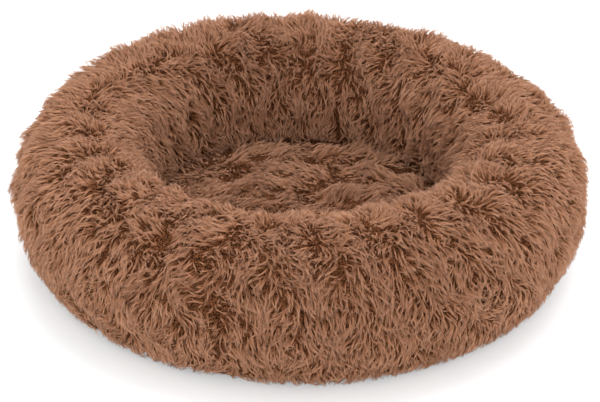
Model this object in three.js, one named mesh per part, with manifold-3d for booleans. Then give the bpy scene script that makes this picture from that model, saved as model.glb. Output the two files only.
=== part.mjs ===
// Round donut pet bed: a raised fur rim about a sunken fur well, on a grip-dotted base.
// Millimetres, +Z up. The origin is on the floor, under the middle of the bed.
// The rim and well are a removable cover over two filled liners, a ring bolster and a round cushion.
// A moulded-tooth zip closes the cover at the back of the heel, where the rim meets the base.

import * as THREE from 'three';
import { mergeVertices } from 'three/addons/utils/BufferGeometryUtils.js';
import Module from 'manifold-3d';

// Overall sizes
const outer_diameter = 760;
const bed_height = 205;
const rim_width = 195;

// Cloths and their clearances
const cover_depth = 20;
const base_cloth = 1.2;
const liner_cloth = 1;
const rest_gap = 0.3;
const cover_fit = 1;
const sewing_gap = 0.5;
const mitre_gap = 0.4;

// The rim's section is an oval between an ellipse and a rounded box
const oval_power = 2.2;
const oval_corners = 12;
const fine_corners = 34;

// The rim cover is two half rings, drawn in at the two seams between them
const seam_turn = THREE.MathUtils.degToRad(-15);
const seam_dip = 7;
const seam_dip_reach = 45;
const lump_dip = 3;
const lumps_per_panel = 4;

// The pile stands in tufts, where sets of waves, each on its own way over the rim, rise together
const tuft_spacing = 58;
const tuft_dip = 11;
const tuft_full_share = 0.45;
const tuft_way_shares = [0.04, 0.27, 0.46, 0.63, 0.82];
const tuft_phase_shares = [0.1, 0.7, 0.4, 0, 0.55];
const tuft_fade = 30;
const cover_steps = 96;
const base_steps = 72;
const bolster_steps = 36;
const cushion_steps = 24;

// The well: the fur disc that the animal lies on, and the round cushion below it
const well_seam_ease = 1;
const well_seam_height = 52;
const well_crown = 4.5;
const cushion_edge_gap = 8;
const cushion_power = 3;
const cushion_corners = 12;
const disc_rings = 7;

// Printed grip dots under the base
const dot_height = 0.8;
const dot_radius = 3.5;
const dot_spacing = 76;
const dot_margin = 12;
const dot_sides = 6;

// The zip lies on the heel, a 45 degree cone. Its tapes' middle plane is the cone itself.
const heel_slope = THREE.MathUtils.degToRad(45);
const chain_height = 20;
const chain_length = 342;
const tooth_pitch = 4.5;
const tooth_reach = 2.8;
const tooth_root_width = 1.4;
const tooth_head_width = 2.3;
const tooth_thickness = 2.6;
const tooth_tip_gap = 0.35;
const bead_width = 1.4;
const bead_end = 1.6;
const tape_width = 9;
const tape_cloth = 0.8;
const tape_tail = 10;
const tape_step = 12;
const stop_length = 2.5;
const bottom_stop_length = 3;
const stop_thickness = 4.4;
const opening_tail = 8;
const cut_overrun = 6;

// Slider
const slider_length = 13;
const slider_plate = 1;
const slider_wall = 0.85;
const slider_lead = 3;
const slider_gap = 0.3;
const slider_side_room = 1;
const post_half_width = 0.8;
const post_gap = 0.35;
const crown_span = 8;
const crown_width = 2.2;
const crown_bar = 1;

// Pull
const pull_reach = 15.5;
const pull_width = 6;
const pull_thickness = 1.2;
const pull_bar = 1.4;
const pull_leg = 1.2;
const pull_gap = 0.35;
const pull_corner_steps = 6;

// Sizes worked out from those above
const outer_radius = outer_diameter / 2;
const rim_radius = outer_radius - rim_width / 2;
const base_top = dot_height + base_cloth;
const bolster_bottom = base_top + rest_gap;
const bolster_top = bed_height - cover_depth - cover_fit;
const bolster_half_height = (bolster_top - bolster_bottom) / 2;
const bolster_middle = (bolster_top + bolster_bottom) / 2;
const bolster_half_width = rim_width / 2 - cover_depth - cover_fit;
const well_seam_radius = rim_radius - bolster_half_width - cover_fit - well_seam_ease;

const chain_root = (tooth_reach + tooth_tip_gap) / 2;
const chain_back = chain_root + bead_width;
const tooth_tip = tooth_reach - chain_root;
const row_parting = post_half_width + post_gap + tooth_tip;
const tooth_count = Math.floor(chain_length / tooth_pitch);
const parting_start = (tooth_count - 2) * tooth_pitch;
const parting_end = parting_start + tooth_pitch;
const slider_place = parting_start + slider_lead;
const slider_mouth = slider_place + slider_length / 2;
const rows_end = slider_mouth - slider_gap;
const stops_start = slider_mouth + slider_gap;
const tape_thick_half = tape_cloth / 2;
const plate_inside = tooth_thickness / 2 + slider_gap;
const plate_outside = plate_inside + slider_plate;
const slider_side = chain_back + slider_gap + slider_wall;
const mouth_side = slider_side + row_parting;
const cloth_inside = tape_thick_half + sewing_gap;
const flare_edge = chain_height - mouth_side - slider_side_room;
const fur_edge = chain_height + mouth_side + slider_side_room;
const tape_far_side = chain_back + slider_gap + tape_width;
const rim_tape_end = chain_height + tape_far_side + rest_gap;
const pull_axis_height = plate_outside + pull_gap + pull_bar / 2;
const crown_clear = pull_axis_height + pull_bar / 2 + pull_gap;

// The cone passes the bolster's lower outer flank with room for the slider's inner plate
const bolster_reach_power = oval_power / (oval_power - 1);
const bolster_flank = (
  (bolster_half_width * Math.sin(heel_slope)) ** bolster_reach_power
  + (bolster_half_height * Math.cos(heel_slope)) ** bolster_reach_power
) ** (1 / bolster_reach_power);
const cone_distance = bolster_flank + plate_outside + slider_gap * 2;
const heel_radius = rim_radius
  + (cone_distance - (bolster_middle - base_top) * Math.cos(heel_slope)) / Math.sin(heel_slope);
const chain_radius = heel_radius + chain_height * Math.cos(heel_slope);

// Materials
function cloth(colour, roughness) {
  return new THREE.MeshStandardMaterial({ color: colour, roughness, metalness: 0 });
}

const fur = cloth(0x86603f, 0.95);
const well_fur = cloth(0x6f4c33, 0.95);
const oxford = cloth(0x3b2c22, 0.85);
const liner = cloth(0xe9e5dc, 0.9);
const filling = cloth(0xf4f3ef, 1);
const tape = cloth(0x4a3527, 0.85);
const tooth_plastic = cloth(0x3d2b20, 0.4);
const slider_metal = new THREE.MeshStandardMaterial({ color: 0x6d5a4b, roughness: 0.35, metalness: 1 });

const group = new THREE.Group();
group.name = 'donut_pet_bed';

// Helpers
const wasm = await Module();
wasm.setup();

function add(name, geometry, material, parent = group) {
  const mesh = new THREE.Mesh(geometry, material);
  mesh.name = name;
  parent.add(mesh);
  return mesh;
}

// Turns a closed mesh's faces outwards
function facingOut(geometry) {
  const place = geometry.getAttribute('position');
  const index = geometry.getIndex();
  const [a, b, c] = [new THREE.Vector3(), new THREE.Vector3(), new THREE.Vector3()];
  let volume = 0;
  for (let i = 0; i < index.count; i += 3) {
    a.fromBufferAttribute(place, index.getX(i));
    b.fromBufferAttribute(place, index.getX(i + 1));
    c.fromBufferAttribute(place, index.getX(i + 2));
    volume += a.dot(b.cross(c));
  }
  if (volume < 0) {
    for (let i = 0; i < index.count; i += 3) {
      const swap = index.getX(i);
      index.setX(i, index.getX(i + 1));
      index.setX(i + 1, swap);
    }
  }
  geometry.computeVertexNormals();
  return geometry;
}

// Leaves only the places of a mesh, with shared corners merged and flat faces dropped
function merged(geometry) {
  geometry.deleteAttribute('normal');
  geometry.deleteAttribute('uv');
  const joined = mergeVertices(geometry);
  const index = Array.from(joined.getIndex().array);
  const kept = [];
  for (let i = 0; i < index.length; i += 3) {
    const [a, b, c] = index.slice(i, i + 3);
    if (a !== b && b !== c && c !== a) {
      kept.push(a, b, c);
    }
  }
  joined.setIndex(kept);
  return facingOut(joined);
}

function toManifold(geometry) {
  const solid = geometry.clone();
  solid.deleteAttribute('normal');
  return new wasm.Manifold(new wasm.Mesh({
    numProp: 3,
    vertProperties: new Float32Array(solid.getAttribute('position').array),
    triVerts: new Uint32Array(solid.getIndex().array),
  }));
}

function toGeometry(manifold) {
  const mesh = manifold.getMesh();
  const geometry = new THREE.BufferGeometry();
  geometry.setAttribute('position', new THREE.BufferAttribute(new Float32Array(mesh.vertProperties), mesh.numProp));
  geometry.setIndex(new THREE.BufferAttribute(new Uint32Array(mesh.triVerts), 1));
  geometry.computeVertexNormals();
  return geometry;
}

function joinAll(solids) {
  return toGeometry(solids.map(toManifold).reduce((whole, piece) => whole.add(piece)));
}

// Sweeps a closed loop of [radius, height] points about +Z, one loop for each angle
function ringSolid(loopAt, angles, whole_turn) {
  const loops = angles.map(loopAt);
  const count = loops[0].length;
  const places = loops.flatMap((loop, i) => loop.flatMap(
    ([radius, height]) => [radius * Math.cos(angles[i]), radius * Math.sin(angles[i]), height],
  ));
  const index = [];
  const bands = whole_turn ? angles.length : angles.length - 1;
  for (let i = 0; i < bands; i++) {
    const here = i * count;
    const next = ((i + 1) % angles.length) * count;
    for (let k = 0; k < count; k++) {
      const l = (k + 1) % count;
      index.push(here + k, here + l, next + l);
      index.push(here + k, next + l, next + k);
    }
  }
  if (!whole_turn) {
    const last = (angles.length - 1) * count;
    for (const [a, b, c] of capFaces(loops[0])) {
      index.push(a, c, b);
    }
    for (const [a, b, c] of capFaces(loops[angles.length - 1])) {
      index.push(last + a, last + b, last + c);
    }
  }
  const geometry = new THREE.BufferGeometry();
  geometry.setAttribute('position', new THREE.Float32BufferAttribute(places, 3));
  geometry.setIndex(index);
  return facingOut(geometry);
}

// Triangles that close a loop, all wound the way the loop runs
function capFaces(loop) {
  const contour = loop.map(([radius, height]) => new THREE.Vector2(radius, height));
  const way = THREE.ShapeUtils.area(contour);
  return THREE.ShapeUtils.triangulateShape(contour, []).map(([a, b, c]) => {
    const turn = THREE.ShapeUtils.area([contour[a], contour[b], contour[c]]);
    return turn * way > 0 ? [a, b, c] : [a, c, b];
  });
}

function stations(start, end, steps) {
  return Array.from({ length: steps + 1 }, (_, i) => start + ((end - start) * i) / steps);
}

function wholeTurn(steps) {
  return stations(0, 2 * Math.PI, steps).slice(0, steps);
}

// Turns a profile that starts and ends on the axis into a round solid
function roundSolid(profile, steps) {
  const points = profile.map(([radius, height]) => new THREE.Vector2(radius, height));
  return merged(new THREE.LatheGeometry(points, steps).rotateX(Math.PI / 2));
}

// A point of the rim's oval section, and the way out of it
function ovalPoint(half_width, half_height, turn) {
  const across = Math.cos(turn);
  const up = Math.sin(turn);
  const shape = (share) => Math.sign(share) * Math.abs(share) ** (2 / oval_power);
  const out_r = (Math.sign(across) * Math.abs(shape(across)) ** (oval_power - 1)) / half_width;
  const out_z = (Math.sign(up) * Math.abs(shape(up)) ** (oval_power - 1)) / half_height;
  const size = Math.hypot(out_r, out_z);
  return {
    point: [rim_radius + half_width * shape(across), bolster_middle + half_height * shape(up)],
    out: [out_r / size, out_z / size],
  };
}

// A point on the heel: along the cone from its foot, and out from it
function heelPoint(along, out) {
  const cosine = Math.cos(heel_slope);
  const sine = Math.sin(heel_slope);
  return [heel_radius + along * cosine + out * sine, base_top + along * sine - out * cosine];
}

function moved([radius, height], [way_r, way_z], distance) {
  return [radius + way_r * distance, height + way_z * distance];
}

// Rim cover. Its backing follows the bolster between the heel and the well seam.
const heel_out = [Math.sin(heel_slope), -Math.cos(heel_slope)];
const mitre_out = [-Math.SQRT1_2, Math.SQRT1_2];
const mitre_depth = cover_depth * Math.SQRT2;
const cover_half_width = bolster_half_width + cover_fit;
const cover_half_height = bolster_half_height + cover_fit;
const heel_seam = heelPoint(fur_edge, cloth_inside);
const heel_turn = heelPoint(Math.max(rim_tape_end, fur_edge + rest_gap), cloth_inside);
const well_seam = [well_seam_radius, well_seam_height];

// The corner of the backing's oval where a straight cloth up from a seam first touches it
function firstTouch([radius, height], corners, side) {
  const place = (corner) => ovalPoint(cover_half_width, cover_half_height, corner).point;
  const angle = (corner) => side * Math.atan2(place(corner)[1] - height, place(corner)[0] - radius);
  const above = corners.filter((corner) => place(corner)[1] > height + rest_gap);
  return above.reduce((best, corner) => (angle(corner) < angle(best) ? corner : best));
}

const corner_turn = (2 * Math.PI) / oval_corners;
const outer_flank = stations(-Math.PI / 3, Math.PI / 3, oval_corners / 3);
const inner_flank = stations((2 * Math.PI) / 3, (4 * Math.PI) / 3, oval_corners / 3);
const first_corner = firstTouch(heel_turn, outer_flank, 1);
const last_corner = firstTouch(well_seam, inner_flank, -1);
const backing_corners = stations(first_corner, last_corner, Math.round((last_corner - first_corner) / corner_turn));
const pile_corners = stations(
  first_corner,
  last_corner,
  Math.round(((last_corner - first_corner) / (2 * Math.PI)) * fine_corners),
);

// Length along the rim's backing from the heel seam to each corner of the pile
const backing_places = pile_corners.map((corner) => ovalPoint(cover_half_width, cover_half_height, corner).point);
const backing_lengths = [];
let heel_length = rest_gap;
let previous = heel_turn;
for (const place of backing_places) {
  heel_length += Math.hypot(place[0] - previous[0], place[1] - previous[1]);
  backing_lengths.push(heel_length);
  previous = place;
}
const backing_end = heel_length + Math.hypot(well_seam[0] - previous[0], well_seam[1] - previous[1]);

const tuft_waves = tuft_way_shares.map((share, k) => ({
  around: Math.round(((2 * Math.PI * rim_radius) / tuft_spacing) * Math.cos(share * Math.PI)),
  along: ((2 * Math.PI) / tuft_spacing) * Math.sin(share * Math.PI),
  phase: 2 * Math.PI * tuft_phase_shares[k],
}));

// How far the pile is drawn in between tufts, at a place on the cover
function tuftDip(angle, along) {
  const waves = tuft_waves.map((wave) => Math.cos(wave.around * angle + wave.along * along + wave.phase));
  const height = waves.reduce((sum, wave) => sum + wave) / waves.length;
  return tuft_dip * Math.max(tuft_full_share - height, 0);
}

// Depth of the cover: full on each tuft, drawn in between tufts, between lumps and at the seams
function coverDepth(angle, along) {
  const from_seam = THREE.MathUtils.euclideanModulo(angle - Math.PI / 2 - seam_turn, Math.PI);
  const seam_distance = Math.min(from_seam, Math.PI - from_seam) * outer_radius;
  const seam = seam_dip * Math.exp(-((seam_distance / seam_dip_reach) ** 2));
  const lump = (lump_dip * (1 + Math.cos(2 * lumps_per_panel * from_seam))) / 2;
  const fade = Math.min(along, backing_end - along, tuft_fade) / tuft_fade;
  return cover_depth - Math.max(seam, lump, fade * tuftDip(angle, along));
}

function rimLoop(angle) {
  const edge_depth = coverDepth(angle, 0);
  const pile = pile_corners.map((corner, k) => {
    const { point, out } = ovalPoint(cover_half_width, cover_half_height, corner);
    return moved(point, out, coverDepth(angle, backing_lengths[k]));
  });
  const backing = backing_corners.map(
    (corner) => ovalPoint(cover_half_width, cover_half_height, corner).point,
  );
  return [
    heel_seam,
    moved(heel_seam, heel_out, edge_depth),
    moved(heel_turn, heel_out, edge_depth),
    ...pile,
    moved(well_seam, mitre_out, mitre_depth),
    well_seam,
    ...backing.reverse(),
    heel_turn,
  ];
}

function rimPanel(name, start) {
  const seam_gap_turn = rest_gap / 2 / well_seam_radius;
  const angles = stations(start, start + Math.PI, cover_steps / 2);
  angles[0] += seam_gap_turn;
  angles[angles.length - 1] -= seam_gap_turn;
  add(name, ringSolid(rimLoop, angles, false), fur);
}

rimPanel('rim_panel_left', Math.PI / 2 + seam_turn);
rimPanel('rim_panel_right', -Math.PI / 2 + seam_turn);

// Well panel: a fur disc, mitred to the rim cover at its edge
const mitre_shift = -mitre_gap * Math.SQRT1_2;

function wellRise(share) {
  return well_crown * (1 - share ** 2);
}

function wellPanel() {
  const back_edge = [well_seam_radius + mitre_shift, well_seam_height + mitre_shift];
  const pile_edge = [back_edge[0] - cover_depth, back_edge[1] + cover_depth];
  const shares = stations(1 / disc_rings, 1, disc_rings - 1);
  const angles = wholeTurn(bolster_steps);
  const places = [];
  const ring = ([radius, height], share, dips) => {
    for (const angle of angles) {
      const x = radius * share * Math.cos(angle);
      const y = radius * share * Math.sin(angle);
      const dip = dips && share < 1 ? tuftDip(x / rim_radius, y) : 0;
      places.push(x, y, height + wellRise(share) - dip);
    }
  };
  shares.forEach((share) => ring(back_edge, share, false));
  shares.toReversed().forEach((share) => ring(pile_edge, share, true));
  const count = bolster_steps;
  const index = [];
  for (let i = 0; i < 2 * disc_rings - 1; i++) {
    for (let k = 0; k < count; k++) {
      const l = (k + 1) % count;
      index.push(i * count + k, i * count + l, (i + 1) * count + l);
      index.push(i * count + k, (i + 1) * count + l, (i + 1) * count + k);
    }
  }
  const last = (2 * disc_rings - 1) * count;
  for (const [start, height] of [[0, back_edge[1]], [last, pile_edge[1] - tuftDip(0, 0)]]) {
    const middle = places.length / 3;
    places.push(0, 0, height + well_crown);
    for (let k = 0; k < count; k++) {
      const l = (k + 1) % count;
      index.push(...(start === 0 ? [middle, start + l, start + k] : [middle, start + k, start + l]));
    }
  }
  const geometry = new THREE.BufferGeometry();
  geometry.setAttribute('position', new THREE.Float32BufferAttribute(places, 3));
  geometry.setIndex(index);
  add('well_panel', facingOut(geometry), well_fur);
}

wellPanel();

// Base panel: a flat disc with a flared edge, cut back along the zip, with grip dots below
function zipAngle(along) {
  return Math.PI / 2 + (along - chain_length / 2) / chain_radius;
}

const opening_start = zipAngle(-bead_end - slider_gap - bottom_stop_length - opening_tail);
const opening_end = zipAngle(stops_start + stop_length + opening_tail);

function lineAtHeight(out, height) {
  return out / Math.tan(heel_slope) + (height - base_top) / Math.sin(heel_slope);
}

function basePanel() {
  const cloth_outside = cloth_inside + base_cloth;
  const edge = fur_edge - rest_gap;
  const under_turn = heelPoint(lineAtHeight(cloth_outside, dot_height), cloth_outside);
  const upper_turn = heelPoint(lineAtHeight(cloth_inside, base_top), cloth_inside);
  const profile = [
    [0, dot_height],
    under_turn,
    heelPoint(edge, cloth_outside),
    heelPoint(edge, cloth_inside),
    upper_turn,
    [0, base_top],
  ];
  const opening = ringSolid(
    () => [
      heelPoint(flare_edge, -cut_overrun),
      heelPoint(flare_edge, cut_overrun),
      heelPoint(edge + cut_overrun, cut_overrun),
      heelPoint(edge + cut_overrun, -cut_overrun),
    ],
    stations(opening_start, opening_end, base_steps / 4),
    false,
  );
  let panel = toManifold(roundSolid(profile, base_steps)).subtract(toManifold(opening));
  for (const [x, y] of dotPlaces(under_turn[0] - dot_margin)) {
    const dot = new THREE.CylinderGeometry(dot_radius, dot_radius, dot_height + base_cloth / 2, dot_sides);
    dot.rotateX(Math.PI / 2).translate(x, y, (dot_height + base_cloth / 2) / 2);
    panel = panel.add(toManifold(merged(dot)));
  }
  add('base_panel', toGeometry(panel), oxford);
}

function dotPlaces(limit) {
  const places = [];
  const row_spacing = dot_spacing * Math.sin(Math.PI / 3);
  const rows = Math.floor(limit / row_spacing);
  const columns = Math.ceil(limit / dot_spacing);
  for (let row = -rows; row <= rows; row++) {
    for (let column = -columns; column <= columns; column++) {
      const x = (column + (row % 2 === 0 ? 0 : 1 / 2)) * dot_spacing;
      const y = row * row_spacing;
      if (Math.hypot(x, y) < limit) {
        places.push([x, y]);
      }
    }
  }
  return places;
}

basePanel();

// Bolster: two ring-shaped liner panels, sewn along the ring's outer and inner lines, about a filling
function bolsterLoop(inset) {
  return (start, end, steps) => stations(start, end, steps).map(
    (turn) => ovalPoint(bolster_half_width - inset, bolster_half_height - inset, turn).point,
  );
}

function bolster() {
  const half = oval_corners / 2;
  const seam_share = rest_gap / 2 / bolster_half_height;
  const halves = [['bolster_liner_top', seam_share, Math.PI - seam_share],
    ['bolster_liner_bottom', Math.PI + seam_share, 2 * Math.PI - seam_share]];
  for (const [name, start, end] of halves) {
    const outside = bolsterLoop(0)(start, end, half);
    const inside = bolsterLoop(liner_cloth)(start, end, half).reverse();
    add(name, ringSolid(() => [...outside, ...inside], wholeTurn(bolster_steps), true), liner);
  }
  const core = bolsterLoop(liner_cloth + rest_gap)(0, 2 * Math.PI, oval_corners).slice(1);
  add('bolster_filling', ringSolid(() => core, wholeTurn(bolster_steps), true), filling);
}

bolster();

// Cushion: two round liner panels about a filling, with a crown and drawn-in sides
const cushion_radius = rim_radius - bolster_half_width - cushion_edge_gap;
const cushion_top = well_seam_height + mitre_shift + well_crown - rest_gap;
const cushion_bottom = base_top + rest_gap;

function cushionArc(inset, start, end, steps) {
  const half_height = (cushion_top - cushion_bottom) / 2 - inset;
  const middle = (cushion_top + cushion_bottom) / 2;
  const shape = (share) => Math.sign(share) * Math.abs(share) ** (2 / cushion_power);
  return stations(start, end, steps).map((turn) => [
    (cushion_radius - inset) * Math.abs(shape(Math.cos(turn))),
    middle + half_height * shape(Math.sin(turn)),
  ]);
}

function onAxis(arc, at) {
  arc[at][0] = 0;
  return arc;
}

function cushion() {
  const quarter = cushion_corners / 2;
  const seam_share = rest_gap / cushion_radius;
  for (const [name, side] of [['cushion_liner_top', 1], ['cushion_liner_bottom', -1]]) {
    const outside = onAxis(cushionArc(0, (side * Math.PI) / 2, side * seam_share, quarter), 0);
    const inside = cushionArc(liner_cloth, side * seam_share, (side * Math.PI) / 2, quarter);
    add(name, roundSolid([...outside, ...onAxis(inside, quarter)], cushion_steps), liner);
  }
  const core = cushionArc(liner_cloth + rest_gap, Math.PI / 2, -Math.PI / 2, cushion_corners);
  add('cushion_filling', roundSolid(onAxis(onAxis(core, 0), cushion_corners), cushion_steps), filling);
}

cushion();

// Zip. A place on it is a length along the chain, a distance across it and a height out of it.
function zipPoint(along, across, out) {
  const [radius, height] = heelPoint(chain_height + across, out);
  const angle = zipAngle(along);
  return new THREE.Vector3(radius * Math.cos(angle), radius * Math.sin(angle), height);
}

// How far each row is parted from the middle, ahead of and inside the slider
function parting(along) {
  const share = THREE.MathUtils.clamp((along - parting_start) / tooth_pitch, 0, 1);
  return row_parting * share;
}

// A plate bent onto the heel. Its [along, across] points are tiled by fans of their indexes, which
// all run the way the outline does.
function zipPlate(points, fans, outline, thickness) {
  const count = points.length;
  const places = [thickness / 2, -thickness / 2].flatMap(
    (out) => points.flatMap(([along, across]) => zipPoint(along, across, out).toArray()),
  );
  const index = [];
  for (const [hub, ...spokes] of fans) {
    for (let k = 0; k + 1 < spokes.length; k++) {
      index.push(hub, spokes[k], spokes[k + 1]);
      index.push(count + hub, count + spokes[k + 1], count + spokes[k]);
    }
  }
  outline.forEach((here, k) => {
    const next = outline[(k + 1) % outline.length];
    index.push(next, here, count + here);
    index.push(next, count + here, count + next);
  });
  const geometry = new THREE.BufferGeometry();
  geometry.setAttribute('position', new THREE.Float32BufferAttribute(places, 3));
  geometry.setIndex(index);
  return facingOut(geometry);
}

// One row of moulded teeth on its bead. Side -1 is the base's row and 1 is the rim's.
function zipRow(name, side, first_tooth) {
  const points = [];
  const put = (along, across) => points.push([along, side * across]) - 1;
  const edge = (along) => [
    put(along, chain_root + parting(along)),
    put(along, chain_back + parting(along)),
  ];
  const fans = [];
  const front = [];
  const back = [];
  let [last_root, last_back] = edge(-bead_end);
  for (let tooth = 0; tooth < tooth_count; tooth++) {
    const middle = first_tooth + tooth * tooth_pitch;
    const root = chain_root + parting(middle);
    const corners = [
      put(middle - tooth_root_width / 2, root),
      put(middle - tooth_head_width / 2, root - tooth_reach),
      put(middle + tooth_head_width / 2, root - tooth_reach),
      put(middle + tooth_root_width / 2, root),
    ];
    const hub = put(middle, chain_back + parting(middle));
    const end = tooth === tooth_count - 1 ? rows_end : middle + tooth_pitch / 2;
    const [next_root, next_back] = edge(end);
    fans.push([hub, last_back, last_root, ...corners, next_root, next_back]);
    front.push(last_root, ...corners);
    back.push(last_back, hub);
    [last_root, last_back] = [next_root, next_back];
  }
  const outline = [...front, last_root, last_back, ...back.reverse()];
  add(name, zipPlate(points, fans, outline, tooth_thickness), tooth_plastic);
}

function zipTape(name, side) {
  const start = -bead_end - slider_gap - bottom_stop_length - opening_tail - tape_tail;
  const end = stops_start + stop_length + opening_tail + tape_tail;
  const even = stations(start, end, Math.ceil((end - start) / tape_step));
  const near_parting = (along) => Math.abs(along - parting_start) < tooth_pitch;
  const places = [...even.filter((along) => !near_parting(along)), parting_start, parting_end];
  places.sort((a, b) => a - b);
  const count = places.length;
  const points = [
    ...places.map((along) => [along, side * (chain_back + slider_gap + parting(along))]),
    ...places.map((along) => [along, side * tape_far_side]),
  ];
  const near = places.map((_, i) => i);
  const far = near.map((i) => count + i);
  const fans = near.slice(1).map((i) => [i - 1, i, count + i, count + i - 1]);
  add(name, zipPlate(points, fans, [...near, ...far.reverse()], tape_cloth), tape);
}

function zipBlock(name, start, end, low, high) {
  const points = [[start, low], [end, low], [end, high], [start, high]];
  const around = points.map((_, i) => i);
  add(name, zipPlate(points, [around], around, stop_thickness), slider_metal);
}

function zip() {
  zipTape('zip_tape_base', -1);
  zipTape('zip_tape_rim', 1);
  zipRow('zip_teeth_base', -1, 0);
  zipRow('zip_teeth_rim', 1, tooth_pitch / 2);
  const stop_in = chain_root + row_parting;
  const stop_out = chain_back + row_parting;
  const stops_end = stops_start + stop_length;
  zipBlock('zip_top_stop_base', stops_start, stops_end, -stop_out, -stop_in);
  zipBlock('zip_top_stop_rim', stops_start, stops_end, stop_in, stop_out);
  const bottom_end = -bead_end - slider_gap;
  zipBlock('zip_bottom_stop', bottom_end - bottom_stop_length, bottom_end, -chain_back, chain_back);
}

zip();

// Slider, in its own frame: x along the chain towards the mouth, y up the heel, z out of it
const slider_frame = new THREE.Group();
const slider_turn = zipAngle(slider_place);
slider_frame.position.copy(zipPoint(slider_place, 0, 0));
slider_frame.quaternion.setFromRotationMatrix(new THREE.Matrix4().makeBasis(
  new THREE.Vector3(-Math.sin(slider_turn), Math.cos(slider_turn), 0),
  new THREE.Vector3(
    Math.cos(slider_turn) * Math.cos(heel_slope),
    Math.sin(slider_turn) * Math.cos(heel_slope),
    Math.sin(heel_slope),
  ),
  new THREE.Vector3(
    Math.cos(slider_turn) * Math.sin(heel_slope),
    Math.sin(slider_turn) * Math.sin(heel_slope),
    -Math.cos(heel_slope),
  ),
));
group.add(slider_frame);

function plate(points, low, high) {
  const shape = new THREE.Shape(points.map(([x, y]) => new THREE.Vector2(x, y)));
  const geometry = new THREE.ExtrudeGeometry(shape, { depth: high - low, bevelEnabled: false });
  return merged(geometry.translate(0, 0, low));
}

function slider() {
  const rear = -slider_length / 2;
  const mouth = slider_length / 2;
  const bend = -slider_lead;
  const bend_end = bend + tooth_pitch;
  const side_line = (half, side) => [
    [rear, side * half],
    [bend, side * half],
    [bend_end, side * (half + row_parting)],
    [mouth, side * (half + row_parting)],
  ];
  const outline = [...side_line(slider_side, -1), ...side_line(slider_side, 1).reverse()];
  const pieces = [
    plate(outline, plate_inside, plate_outside),
    plate(outline, -plate_outside, -plate_inside),
  ];
  const lip = tape_thick_half + slider_gap;
  const sunk = slider_plate / 2;
  for (const side of [-1, 1]) {
    const wall = [
      ...side_line(slider_side, side),
      ...side_line(slider_side - slider_wall, side).reverse(),
    ];
    pieces.push(plate(wall, lip, plate_inside + sunk));
    pieces.push(plate(wall, -plate_inside - sunk, -lip));
  }
  const post_start = bend + tooth_pitch / 2 + tooth_head_width / 2 + post_gap;
  const post_end = mouth - slider_gap;
  const post = [
    [post_start, 0],
    [(post_start + post_end) / 2, -post_half_width],
    [post_end, -post_half_width / 2],
    [post_end, post_half_width / 2],
    [(post_start + post_end) / 2, post_half_width],
  ];
  pieces.push(plate(post, -plate_inside - sunk, plate_inside + sunk));
  pieces.push(crown());
  add('zip_slider', joinAll(pieces), slider_metal, slider_frame);
}

// The crown is an arch over the pull's bar
function crown() {
  const half = crown_span / 2;
  const foot = plate_outside - slider_plate / 2;
  const top = crown_clear + crown_bar;
  const shoulder = crown_bar;
  const arch = new THREE.Shape([
    [-half, foot],
    [-half, top - shoulder],
    [-half + shoulder, top],
    [half - shoulder, top],
    [half, top - shoulder],
    [half, foot],
    [half - crown_bar, foot],
    [half - crown_bar, crown_clear],
    [-half + crown_bar, crown_clear],
    [-half + crown_bar, foot],
  ].map(([x, z]) => new THREE.Vector2(x, z)));
  const geometry = new THREE.ExtrudeGeometry(arch, { depth: crown_width, bevelEnabled: false });
  return merged(geometry.translate(0, 0, -crown_width / 2).rotateX(Math.PI / 2));
}

slider();

// Pull, hanging straight out of the heel. Its bar lies under the crown, its legs beside it.
function pull() {
  const half = pull_width / 2;
  const slot = crown_width / 2 + pull_gap;
  const eye = slot + pull_leg;
  const slot_end = crown_span / 2 + pull_gap;
  const outline = new THREE.Shape();
  outline.moveTo(-eye, -pull_bar / 2);
  outline.lineTo(eye, -pull_bar / 2);
  outline.lineTo(eye, slot_end);
  outline.lineTo(half, slot_end + pull_leg);
  outline.absarc(0, pull_reach - half, half, 0, Math.PI, false);
  outline.lineTo(-half, slot_end + pull_leg);
  outline.lineTo(-eye, slot_end);
  outline.closePath();
  const hole = new THREE.Path();
  hole.moveTo(-slot, pull_bar / 2);
  hole.lineTo(-slot, slot_end);
  hole.lineTo(slot, slot_end);
  hole.lineTo(slot, pull_bar / 2);
  hole.closePath();
  outline.holes.push(hole);
  const settings = { depth: pull_thickness, bevelEnabled: false, curveSegments: pull_corner_steps };
  const geometry = new THREE.ExtrudeGeometry(outline, settings);
  geometry.translate(0, 0, -pull_thickness / 2);
  // The outline's x and y become the slider's y and z
  geometry.rotateX(Math.PI / 2).rotateZ(Math.PI / 2);
  const mesh = add('zip_pull', merged(geometry), slider_metal, slider_frame);
  mesh.position.set(0, 0, pull_axis_height);
}

pull();

export default group;
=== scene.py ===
"""Looks of a round donut pet bed: shaggy fur over a padded rim and well, on a grip-dotted base."""
import math

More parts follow.
